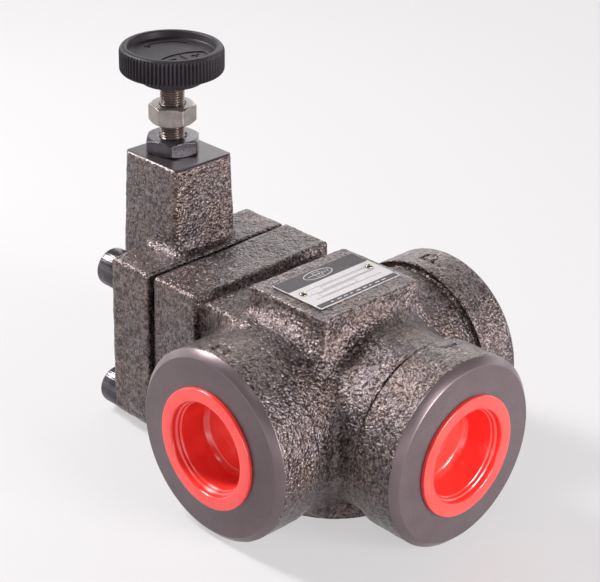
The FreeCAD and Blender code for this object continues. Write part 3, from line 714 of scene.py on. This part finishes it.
def port_end(name, face, aim):
    """The faced, chamfered and threaded end of one port."""
    groove = PORT_MAJOR_R - PORT_MINOR_R
    bottom = face - PORT_DEPTH
    inner = [(PORT_MINOR_R, bottom)]
    height = face - PORT_THREAD_DEPTH
    for _ in range(PORT_THREADS):
        inner.append((PORT_MINOR_R, height))
        inner.append((PORT_MINOR_R + groove, height + PORT_PITCH / 2))
        height += PORT_PITCH
    inner.append((PORT_MINOR_R, height))
    inner.append((PORT_MAJOR_R + 0.3, height + groove + 0.3))
    inner.append((PORT_MAJOR_R + 0.3, face))
    outer = [
        (BOSS_R - BOSS_CHAMFER, face),
        (BOSS_R, face - BOSS_CHAMFER),
        (BOSS_R, face - BOSS_CHAMFER - 0.35),
        (BOSS_R - 1.0, face - BOSS_CHAMFER - 0.8),
        (LINER_R - 0.2, face - BOSS_CHAMFER - 0.8),
        (LINER_R - 0.2, bottom),
    ]
    profile = rounded(inner + outer, 0.25, 2)
    points, faces = ring_mesh_data(turned_rings(profile, angles(180)), True)
    return piece(name, AIM[aim](points), faces, MACHINED, "valve", "cast_iron")


port_end("port_end_near", P_FACE, "near")
port_end("port_end_far", P_FACE, "far")
port_end("port_end_tank", T_FACE, "tank")


# ---- port caps ----
CAP_FLANGE_R = 24.0
CAP_FLANGE_T = 1.8
CAP_SLEEVE_R = 19.4
CAP_MOUTH_R = 18.75
CAP_DEPTH = 16.2
CAP_FLOOR = 1.4


def port_cap(name, node, face, aim, body):
    """A moulded plug: a wide rim on the port face and a stepped cup in the bore."""
    outer = face + CAP_FLANGE_T
    floor = outer - CAP_DEPTH
    tip = floor - CAP_FLOOR
    profile = [
        (0.3, tip), (CAP_SLEEVE_R - 1.0, tip), (CAP_SLEEVE_R, tip + 1.0), (CAP_SLEEVE_R, face + 0.02),
        (CAP_FLANGE_R, face + 0.02), (CAP_FLANGE_R, outer), (CAP_MOUTH_R + 0.2, outer),
        (CAP_MOUTH_R - 0.1, outer - 0.9), (CAP_MOUTH_R - 0.1, outer - 2.2),
        (CAP_MOUTH_R - 0.9, outer - 2.5), (CAP_MOUTH_R - 0.9, outer - 3.7),
        (CAP_MOUTH_R - 1.5, outer - 4.0), (CAP_MOUTH_R - 1.8, floor + 1.8), (CAP_MOUTH_R - 3.4, floor),
        (7.0, floor + 0.15), (6.2, floor + 0.55), (0.3, floor + 0.6),
    ]
    points, faces = ring_mesh_data(turned_rings(rounded(profile, 0.35), angles(160)), True)
    obj = piece(name, AIM[aim](points), faces, CAP_PLASTIC, body, "cap_plastic", 40.0)
    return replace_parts(obj, node)


port_cap("cap_near", "port_cap_near", P_FACE, "near", "near_cap")
port_cap("cap_far", "port_cap_far", P_FACE, "far", "far_cap")
port_cap("cap_tank", "port_cap_tank", T_FACE, "tank", "tank_cap")


# ---- hexagons and fasteners ----
def hexagon_radius(across_flats, turn, turn_deg, corner_round=0.35):
    """Distance from the axis to a hexagon with broken corners, at each angle; a corner is at turn_deg."""
    away = np.mod(turn - math.radians(turn_deg) + math.pi / 6, math.pi / 3) - math.pi / 6
    flat = across_flats / 2 / np.cos(math.pi / 6 - np.abs(away))
    return np.minimum(flat, across_flats / math.sqrt(3) - corner_round * 0.5)


NUT_TURNS = angles(192)


def nut_rings(across_flats, low, high, corner_deg, bore):
    """Rings up the outside of a nut whose corners are turned off to a cone, then down its bore."""
    turn = NUT_TURNS
    radius = hexagon_radius(across_flats, turn, corner_deg)
    face_r = across_flats / 2 - 0.25
    drop = np.maximum(radius - face_r, 0.0) * math.tan(math.radians(30))
    low_edge, high_edge = low + drop, high - drop
    rings = [ring_z(face_r, low, turn)]
    for share in (0.0, 0.04, 0.5, 0.96, 1.0):
        rings.append(ring_z(radius, low_edge + share * (high_edge - low_edge), turn))
    rings.append(ring_z(face_r, high, turn))
    return rings + turned_rings(bore, turn)


SCREW_R = 4.98
SCREW_HOLE_R = 5.03
SCREW_PITCH = 1.0
NUT_AF = 17.0
RETAINER_AF = 20.5
RETAINER_GROOVE_R = 7.2
RETAINER_GROOVE_Z = (59.5, 61.7)
FLAT_TO_FRONT = -75.0
CORNER_TO_FRONT = -45.0


def at_tower(points):
    return points + np.array([TOWER_X, 0.0, 0.0])


def lock_nut():
    low, high = NUT_LOW[2], NUT_HIGH[2]
    mouth_r = SCREW_R + 0.75
    bore = [(mouth_r, high), (SCREW_HOLE_R, high - 0.7), (SCREW_HOLE_R, low + 0.7), (mouth_r, low)]
    points, faces = ring_mesh_data(nut_rings(NUT_AF, low, high, FLAT_TO_FRONT, bore), True)
    obj = piece("lock_nut_piece", at_tower(points), faces, ZINC, "nut", "zinc_steel", 20.0)
    soften(obj, 0.12, 20.0)
    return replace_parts(obj, "lock_nut")


def retainer_nut():
    """The hexagon on the tower, with its spigot and seal groove inside the tower."""
    low, high = TOWER_TOP + 0.01, RETAINER_TOP
    foot = PILOT_BORE_Z[1]
    groove_low, groove_high = RETAINER_GROOVE_Z
    bore = [
        (SCREW_R + 1.1, high), (SCREW_HOLE_R, high - 1.0), (SCREW_HOLE_R, foot), (RETAINER_R, foot),
        (RETAINER_R, groove_low), (RETAINER_GROOVE_R, groove_low), (RETAINER_GROOVE_R, groove_high),
        (RETAINER_R, groove_high), (RETAINER_R, low),
    ]
    points, faces = ring_mesh_data(nut_rings(RETAINER_AF, low, high, CORNER_TO_FRONT, bore), True)
    obj = piece("retainer_nut_piece", at_tower(points), faces, BLACK_OXIDE, "valve", "black_oxide", 20.0)
    soften(obj, 0.12, 20.0)
    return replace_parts(obj, "retainer_nut")


def adjusting_screw():
    """The screw with a true helical thread that runs out at both ends."""
    turn = angles(96)
    low, high = THREAD_LOW[2], THREAD_HIGH[2]
    start, end = low + 4.0, KNOB_LOW[2] + 1.5
    depth, rows_per_pitch = 0.5, 12
    heights = np.arange(start, end, SCREW_PITCH / rows_per_pitch)
    root = SCREW_R - depth
    tip = [(0.01, low), (3.2, low), (3.4, low + 0.2), (3.6, low + 3.0), (root, low + 3.5)]
    top = [(root, end), (root, high - 0.4), (root - 0.4, high), (0.01, high)]
    rings = turned_rings(tip, turn)
    for height in heights:
        phase = np.mod((height - start) / SCREW_PITCH - turn / (2 * math.pi), 1.0)
        shape = np.clip((0.5 - np.abs(phase - 0.5)) * 2.6 - 0.25, 0.0, 1.0)
        fade = min(1.0, (height - start) / 1.2, (end - height) / 1.2)
        rings.append(ring_z(root + depth * shape * fade, height, turn))
    points, faces = ring_mesh_data(rings + turned_rings(top, turn), False)
    obj = piece("adjusting_screw_piece", at_tower(points), faces, BARE_STEEL, "adjuster", "bare_steel", 60.0)
    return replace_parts(obj, "adjusting_screw")


lock_nut()
retainer_nut()
adjusting_screw()


# ---- knob ----
KNOB_R = 20.9
KNOB_FLUTES = 80
KNOB_FLUTE_DEPTH = 0.8
KNOB_DISH_R = 17.6
KNOB_HUB_R = 12.6
KNOB_FLOOR_Z = 112.5
KNOB_RIM_LOW = 105.0
INSERT_R = 8.52
INSERT_TOP = 110.02
ARROW_R = 12.8
ARROW_DEG = (111.0, 196.0)
OVAL_CENTRE = (7.6, -0.4)
OVAL_R = 10.4
OVAL_SQUEEZE = 0.42
OVAL_TURN_DEG = 81.0


def hand_knob():
    """A dished knob with ribs on its rim; a row of the plan is radius, height, share of the groove."""
    turn = angles(KNOB_FLUTES * 8)
    wave = 0.5 - 0.5 * np.cos(turn * KNOB_FLUTES)
    groove = KNOB_FLUTE_DEPTH * (1 - wave) ** 1.5
    low, high = KNOB_LOW[2], KNOB_HIGH[2]
    rim = KNOB_RIM_LOW
    plan = [
        (INSERT_R, low, 0), (KNOB_HUB_R - 1.0, low, 0), (KNOB_HUB_R - 0.3, low + 0.3, 0),
        (KNOB_HUB_R, low + 1.0, 0), (KNOB_HUB_R, rim + 0.8, 0), (KNOB_HUB_R + 0.6, rim + 1.4, 0),
        (KNOB_R - 3.4, rim + 1.4, 0), (KNOB_R - 2.6, rim, 0), (KNOB_R - 1.5, rim, 0),
        (KNOB_R - 0.7, rim + 0.35, 0.5), (KNOB_R - 0.15, rim + 1.0, 1), (KNOB_R, rim + 1.6, 1),
        (KNOB_R, high - 2.1, 1), (KNOB_R - 0.1, high - 1.6, 1), (KNOB_R - 0.35, high - 1.0, 0.55),
        (KNOB_R - 0.7, high - 0.55, 0), (KNOB_R - 1.1, high - 0.2, 0), (KNOB_R - 1.6, high, 0),
        (KNOB_DISH_R + 0.7, high, 0), (KNOB_DISH_R + 0.3, high - 0.1, 0), (KNOB_DISH_R, high - 0.5, 0),
        (KNOB_DISH_R - 0.15, KNOB_FLOOR_Z + 0.5, 0), (KNOB_DISH_R - 0.6, KNOB_FLOOR_Z, 0),
        (KNOB_DISH_R - 3.0, KNOB_FLOOR_Z, 0), (0.02, KNOB_FLOOR_Z, 0),
        (0.02, INSERT_TOP, 0), (INSERT_R, INSERT_TOP, 0),
    ]
    rings = [ring_z(radius - groove * depth, height, turn) for radius, height, depth in plan]
    points, faces = ring_mesh_data(rings, True)
    obj = piece("hand_knob_piece", at_tower(points), faces, KNOB_PLASTIC, "adjuster", "knob_plastic", 50.0)
    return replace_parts(obj, "hand_knob")


def ribbon(path, width, low, high, closed=False):
    """A raised flat strip along a path in a horizontal plane: points and faces."""
    path = np.asarray(path, float)
    count = len(path)
    ahead = np.roll(path, -1, 0) if closed else np.vstack([path[1:], 2 * path[-1] - path[-2]])
    behind = np.roll(path, 1, 0) if closed else np.vstack([2 * path[0] - path[1], path[:-1]])
    way = ahead - behind
    way /= np.linalg.norm(way, axis=1)[:, None]
    side = np.stack([-way[:, 1], way[:, 0]], 1)
    left, right = path + side * width / 2, path - side * width / 2
    sections = [np.column_stack([edge, np.full(count, level)]) for edge, level in
                ((left, low), (right, low), (right, high), (left, high))]
    points = np.concatenate(sections)
    faces = []
    steps = count if closed else count - 1
    for i in range(steps):
        j = (i + 1) % count
        for k in range(4):
            m = (k + 1) % 4
            faces.append((k * count + i, k * count + j, m * count + j, m * count + i))
    if not closed:
        faces.append(tuple(k * count for k in range(4)))
        faces.append(tuple(k * count + count - 1 for k in range(3, -1, -1)))
    return points, faces


def gather(parts):
    """Joins several (points, faces) into one."""
    points, faces, start = [], [], 0
    for part_points, part_faces in parts:
        points.append(part_points)
        faces += [tuple(i + start for i in face) for face in part_faces]
        start += len(part_points)
    return np.concatenate(points), faces


def arc(centre, radius, start_deg, end_deg, count, squeeze=1.0, turn_deg=0.0):
    """Points along an arc, optionally squeezed to an ellipse and turned."""
    angle = np.radians(np.linspace(start_deg, end_deg, count))
    u, v = radius * np.cos(angle), radius * squeeze * np.sin(angle)
    c, s = math.cos(math.radians(turn_deg)), math.sin(math.radians(turn_deg))
    return np.column_stack([centre[0] + u * c - v * s, centre[1] + u * s + v * c])


def knob_marks():
    """Raised marks in the dish: a turning arrow near the rim and an oval with plus and minus."""
    level = (KNOB_FLOOR_Z - 0.05, KNOB_FLOOR_Z + 0.38)
    sweep = arc((0, 0), ARROW_R, *ARROW_DEG, 40)
    tip = sweep[-1]
    parts = [ribbon(sweep, 0.55, *level)]
    parts.append(ribbon([tip + (1.9, 1.5), tip, tip + (-1.7, 1.7)], 0.55, *level))
    middle = np.array(OVAL_CENTRE)
    oval = arc(middle, OVAL_R, 0.0, 354.0, 60, OVAL_SQUEEZE, OVAL_TURN_DEG)
    parts.append(ribbon(oval, 0.5, *level, closed=True))
    c, s = math.cos(math.radians(OVAL_TURN_DEG)), math.sin(math.radians(OVAL_TURN_DEG))
    along, aside = np.array([c, s]), np.array([-s, c])
    for place, upright in ((-5.2, False), (5.2, True)):
        centre = middle + along * place
        parts.append(ribbon([centre - along * 1.7, centre + along * 1.7], 0.6, *level))
        if upright:
            parts.append(ribbon([centre - aside * 1.7, centre + aside * 1.7], 0.6, *level))
    parts.append(ribbon([middle - aside * 3.0, middle + aside * 3.0], 0.5, *level))
    points, faces = gather(parts)
    obj = piece("knob_marks", at_tower(points), faces, KNOB_PLASTIC, "adjuster", "knob_plastic", 30.0)
    return soften(obj, 0.1, 40.0)


hand_knob()
knob_marks()


# ---- cover screws and vent plug ----
SCREW_HEAD_R = 8.0
SCREW_KEY_AF = 8.0
VENT_HEAD_H = 3.5
VENT_KEY_AF = 5.0


def socket_screw(radius, length, head_r, head_h, key_af, knurled):
    """A socket head cap screw about Z: the head below 0 with its socket downwards, the shank above."""
    turn = angles(144)
    knurl = 0.14 * (0.5 - 0.5 * np.cos(turn * 48)) if knurled else 0.0 * turn
    key = hexagon_radius(key_af, turn, 0.0, 0.0)
    depth = head_h * 0.5
    profile = [
        (0.01, -head_h + depth + 0.8), (key * 0.98, -head_h + depth), (key, -head_h + 0.4),
        (key_af / math.sqrt(3) + 0.25, -head_h), (head_r - 1.1, -head_h), (head_r - 0.5, -head_h + 0.15),
        (head_r - 0.15, -head_h + 0.55), (head_r - knurl, -head_h + 1.1), (head_r - knurl, -0.5),
        (head_r - 0.3, 0.0), (radius, 0.0), (radius, length - 1.0), (radius - 1.0, length), (0.01, length),
    ]
    return ring_mesh_data(turned_rings(profile, turn), False)


def cover_screws():
    head_base = PLATE_X[0]
    head_h = head_base - HEADS_LOW[0]
    parts = []
    for side in (-1, 1):
        for height in SCREW_Z:
            points, faces = socket_screw(M10_R, HEADS_HIGH[0] - head_base, SCREW_HEAD_R, head_h,
                                         SCREW_KEY_AF, True)
            points = AIM["tank"](points) + np.array([head_base, side * SCREW_Y, height])
            parts.append((points, faces))
    points, faces = gather(parts)
    obj = piece("cover_screw_set", points, faces, BLACK_OXIDE, "valve", "black_oxide", 30.0)
    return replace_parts(obj, "cover_screws")


def vent_plug():
    base = VENT_LOW[0] + VENT_HEAD_H
    points, faces = socket_screw(VENT_R, VENT_HIGH[0] - base, VENT_HEAD_R, VENT_HEAD_H, VENT_KEY_AF, False)
    points = AIM["tank"](points) + (base, 0, 0)
    obj = piece("vent_plug_piece", points, faces, BLACK_OXIDE, "valve", "black_oxide", 30.0)
    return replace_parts(obj, "vent_plug")


cover_screws()
vent_plug()


# ---- nameplate ----
def plate_materials():
    """Bare aluminium, dark printed bands and the lighter lines on them."""
    bare = metal("plate_aluminium", (0.36, 0.335, 0.345), (0.46, 0.435, 0.44), 0.50, 0.5, 0.35, 0.015)
    band = metal("plate_band", (0.030, 0.024, 0.028), (0.040, 0.033, 0.037), 0.62, 0.0, 0.35, 0.008)
    line = metal("plate_line", (0.06, 0.052, 0.055), (0.08, 0.07, 0.072), 0.60, 0.0, 0.35, 0.008)
    return bare, band, line


PLATE_BARE, PLATE_BAND, PLATE_LINE = plate_materials()


def rounded_tile(low, high, radius, bottom, top):
    """A flat tile with rounded corners: points and faces."""
    points = []
    for corner, (side_x, side_y) in enumerate(((1, 1), (-1, 1), (-1, -1), (1, -1))):
        x = high[0] - radius if side_x > 0 else low[0] + radius
        y = high[1] - radius if side_y > 0 else low[1] + radius
        points.append(arc((x, y), radius, 90.0 * corner, 90.0 * corner + 90.0, 6))
    rim = np.concatenate(points)
    rings = [np.column_stack([rim, np.full(len(rim), level)]) for level in (bottom, top)]
    return ring_mesh_data(rings, False)


def nameplate():
    """The plate, its print as thin films: a band with a valve symbol, ruled lines and an edge strip."""
    low, high = PLATE_LOW[:2], PLATE_HIGH[:2]
    top = PLATE_HIGH[2]
    film = top + 0.03
    slot = "plate_aluminium"
    tile = rounded_tile(low, high, 0.8, PLATE_LOW[2], top)
    obj = piece("nameplate_piece", *tile, PLATE_BARE, "valve", slot)
    soften(obj, 0.12, 40.0)
    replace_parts(obj, "nameplate")
    band_end = low[0] + 0.34 * (high[0] - low[0])
    bands = [
        rounded_tile((low[0] + 0.2, low[1] + 0.2), (band_end, high[1] - 0.2), 0.5, top - 0.05, film),
        rounded_tile((high[0] - 3.0, low[1] + 0.5), (high[0] - 0.25, high[1] - 0.5), 0.3, top - 0.05, film),
    ]
    piece("nameplate_bands", *gather(bands), PLATE_BAND, "valve", slot)
    lines = []
    first, last = low[1] + 6.0, high[1] - 6.0
    for offset in (3.2, 7.0, 10.8):
        x = band_end + offset
        lines.append(ribbon([(x, first - 2.0), (x, last + 2.0)], 0.18, top - 0.05, film))
    for start, end in ((0.30, 0.92), (0.18, 0.62)):
        x = band_end + (5.2 if start > 0.2 else 9.0)
        a, b = low[1] + start * (high[1] - low[1]), low[1] + end * (high[1] - low[1])
        box = [(x - 1.2, a), (x + 1.2, a), (x + 1.2, b), (x - 1.2, b)]
        lines.append(ribbon(box, 0.14, top - 0.05, film, closed=True))
    piece("nameplate_lines", *gather(lines), PLATE_LINE, "valve", slot)
    symbol_x, symbol_y = (low[0] + band_end) / 2, (low[1] + high[1]) / 2 - 1.5
    level = (film - 0.02, film + 0.03)
    square = [(symbol_x + 1.7 * u, symbol_y + 1.7 * v) for u, v in ((-1, -1), (1, -1), (1, 1), (-1, 1))]
    flow = [(symbol_x, symbol_y - 5.4), (symbol_x, symbol_y + 1.0)]
    arrow = [(symbol_x - 0.7, symbol_y + 0.2), (symbol_x, symbol_y + 1.1), (symbol_x + 0.7, symbol_y + 0.2)]
    spring = [(symbol_x + 0.9 * (-1) ** k, symbol_y + 1.9 + 0.75 * k) for k in range(6)]
    marks = [
        ribbon(arc((symbol_x, symbol_y), 7.2, 0.0, 354.0, 48, 0.40, 90.0), 0.35, *level, closed=True),
        ribbon(square, 0.3, *level, closed=True),
        ribbon(flow, 0.3, *level),
        ribbon(arrow, 0.25, *level),
        ribbon(spring, 0.25, *level),
    ]
    for k in range(9):
        place = low[1] + 7.0 + k * 3.4
        x = high[0] - 1.6
        marks.append(ribbon([(x, place), (x, place + (2.2 if k % 3 else 1.2))], 0.5, *level))
    piece("nameplate_symbol", *gather(marks), PLATE_BARE, "valve", slot)


def nameplate_rivets():
    """Two drive rivets with a domed, dimpled head."""
    turn = angles(48)
    seat = PLATE_HIGH[2]
    centre = (PLATE_LOW + PLATE_HIGH) / 2
    crown = RIVETS_HIGH[2] - seat
    profile = [
        (0.01, RIVETS_LOW[2]), (0.95, RIVETS_LOW[2]), (0.98, seat), (1.55, seat + 0.02), (1.6, seat + 0.15),
        (1.45, seat + 0.45), (1.15, seat + 0.68), (0.75, seat + crown * 0.98), (0.55, seat + crown),
        (0.42, seat + crown - 0.12), (0.01, seat + crown - 0.2),
    ]
    parts = []
    for side in (-1, 1):
        x, y = centre[0], centre[1] + side * RIVET_PITCH / 2
        rings = [ring_z(radius, height, turn, x, y) for radius, height in profile]
        parts.append(ring_mesh_data(rings, False))
    points, faces = gather(parts)
    obj = piece("rivet_pair", points, faces, RIVET_BRASS, "valve", "brass", 40.0)
    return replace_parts(obj, "nameplate_rivets")


nameplate()
nameplate_rivets()


# ---- looks of the CAD nodes ----
NODE_LOOKS = (
    (CAST, ("valve_body", "pilot_cover")),
    (BLACK_OXIDE, ("cover_screws", "retainer_nut", "vent_plug", "knob_set_screw")),
    (GROUND_STEEL, ("main_seat", "main_piston", "pilot_seat", "pilot_poppet", "spring_plunger")),
    (SPRING_STEEL, ("main_spring", "pilot_spring")),
    (BRASS, ("damping_orifice", "knob_insert")),
    (BARE_STEEL, ("adjusting_screw",)),
    (ZINC, ("lock_nut",)),
    (RIVET_BRASS, ("nameplate_rivets",)),
    (PLATE_BARE, ("nameplate",)),
    (KNOB_PLASTIC, ("hand_knob",)),
    (CAP_PLASTIC, ("port_cap_near", "port_cap_far", "port_cap_tank")),
    (RUBBER, ("cover_seal_ring", "drain_seal_ring", "plunger_seal", "retainer_seal", "vent_plug_seal")),
)
for look, node_names in NODE_LOOKS:
    for node_name in node_names:
        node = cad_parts[node_name]
        if node.material_slots:
            for entry in node.material_slots:
                entry.material = look
        else:
            node.data.materials.append(look)


# ---- springs ----
def spring_coil(node_name):
    """A spring as a piece of its own."""
    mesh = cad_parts[node_name].data.copy()
    mesh.name = node_name + "_coil"
    mesh.materials.clear()
    obj = new_object(node_name + "_coil", mesh, SPRING_STEEL, "valve")
    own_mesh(obj)
    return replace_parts(obj, node_name)


spring_coil("main_spring")
spring_coil("pilot_spring")


# ---- floor, light and camera ----
def floor():
    """A grey sheet that glows, so that the shadows on it stay pale."""
    half_side = 3.0
    work = bmesh.new()
    bmesh.ops.create_grid(work, x_segments=4, y_segments=4, size=half_side)
    mesh = bpy.data.meshes.new("studio_floor")
    work.to_mesh(mesh)
    work.free()
    obj = bpy.data.objects.new("studio_floor", mesh)
    bpy.context.scene.collection.objects.link(obj)
    obj.location = (0, 0, CAD_LOW[2] - 0.0002)
    material, tree, shader = node_material("studio_paper")
    place = place_in_mm(tree)
    tone = noise(tree, place, 3.0, 2.0, 0.5)
    feed(tree, shader, {
        "Base Color": mixed(tree, tone, (0.170, 0.165, 0.168, 1), (0.185, 0.180, 0.183, 1)),
        "Roughness": 0.7,
        "Specular IOR Level": 0.2,
        "Emission Color": (1.0, 0.98, 0.99, 1),
        "Emission Strength": 0.53,
    })
    mesh.materials.append(material)


def view_direction(azimuth, elevation):
    """From the valve outwards, in radians; azimuth 0 is its -Y side and a quarter turn its +X side."""
    return Vector((math.sin(azimuth) * math.cos(elevation), -math.cos(azimuth) * math.cos(elevation),
                   math.sin(elevation)))


def softbox(name, azimuth, elevation, distance, size, power):
    """An area light that looks at the valve; angles in degrees."""
    light = bpy.data.lights.new(name, "AREA")
    light.shape = "RECTANGLE"
    light.size, light.size_y = size
    light.energy = power
    obj = bpy.data.objects.new(name, light)
    bpy.context.scene.collection.objects.link(obj)
    back = view_direction(math.radians(azimuth), math.radians(elevation))
    obj.location = back * distance
    obj.rotation_mode = "QUATERNION"
    obj.rotation_quaternion = back.to_track_quat("Z", "Y")


def studio():
    """A bright horizon under a dark zenith, which the camera sees as plain white, and four soft boxes."""
    world = bpy.data.worlds.new("studio")
    bpy.context.scene.world = world
    world.use_nodes = True
    tree = world.node_tree
    background = tree.nodes["Background"]
    where = add(tree, "ShaderNodeTexCoord").outputs["Generated"]
    height = add(tree, "ShaderNodeSeparateXYZ", {"Vector": where}).outputs["Z"]
    glow = mapped(tree, height, 0.0, 0.45, 2.9, 0.05)
    seen = add(tree, "ShaderNodeLightPath").outputs["Is Camera Ray"]
    strength = add(tree, "ShaderNodeMix", {0: seen, 2: glow, 3: 1.0}, data_type="FLOAT").outputs[0]
    feed(tree, background, {"Color": (1.0, 0.985, 1.0, 1), "Strength": strength})
    softbox("key_behind", 212.0, 34.0, 1.0, (0.7, 0.4), 2.6)
    softbox("upper_left", -68.0, 46.0, 1.0, (0.20, 0.42), 17.0)
    softbox("low_right", 98.0, 18.0, 1.1, (0.4, 0.5), 19.0)
    softbox("front", 20.0, 50.0, 1.3, (0.4, 0.3), 1.0)
    bpy.context.scene.view_settings.view_transform = "Standard"
    bpy.context.scene.view_settings.look = "None"


def camera():
    azimuth, elevation, roll = (math.radians(v) for v in (44.918, 26.592, 1.3))
    target = Vector(in_frame((-10.28, -9.83, 41.79)))
    distance = 695.27 * MM
    back = view_direction(azimuth, elevation)
    data = bpy.data.cameras.new("camera")
    data.sensor_width = 36.0
    data.lens = 109.97
    data.clip_start, data.clip_end = 0.01, 20.0
    obj = bpy.data.objects.new("camera", data)
    bpy.context.scene.collection.objects.link(obj)
    obj.location = target + back * distance
    right = Vector((math.cos(azimuth), math.sin(azimuth), 0.0))
    up = back.cross(right)
    right_rolled = right * math.cos(roll) + up * math.sin(roll)
    up_rolled = up * math.cos(roll) - right * math.sin(roll)
    obj.rotation_mode = "QUATERNION"
    obj.rotation_quaternion = Matrix((right_rolled, up_rolled, back)).transposed().to_quaternion()
    bpy.context.scene.camera = obj


floor()
studio()
camera()
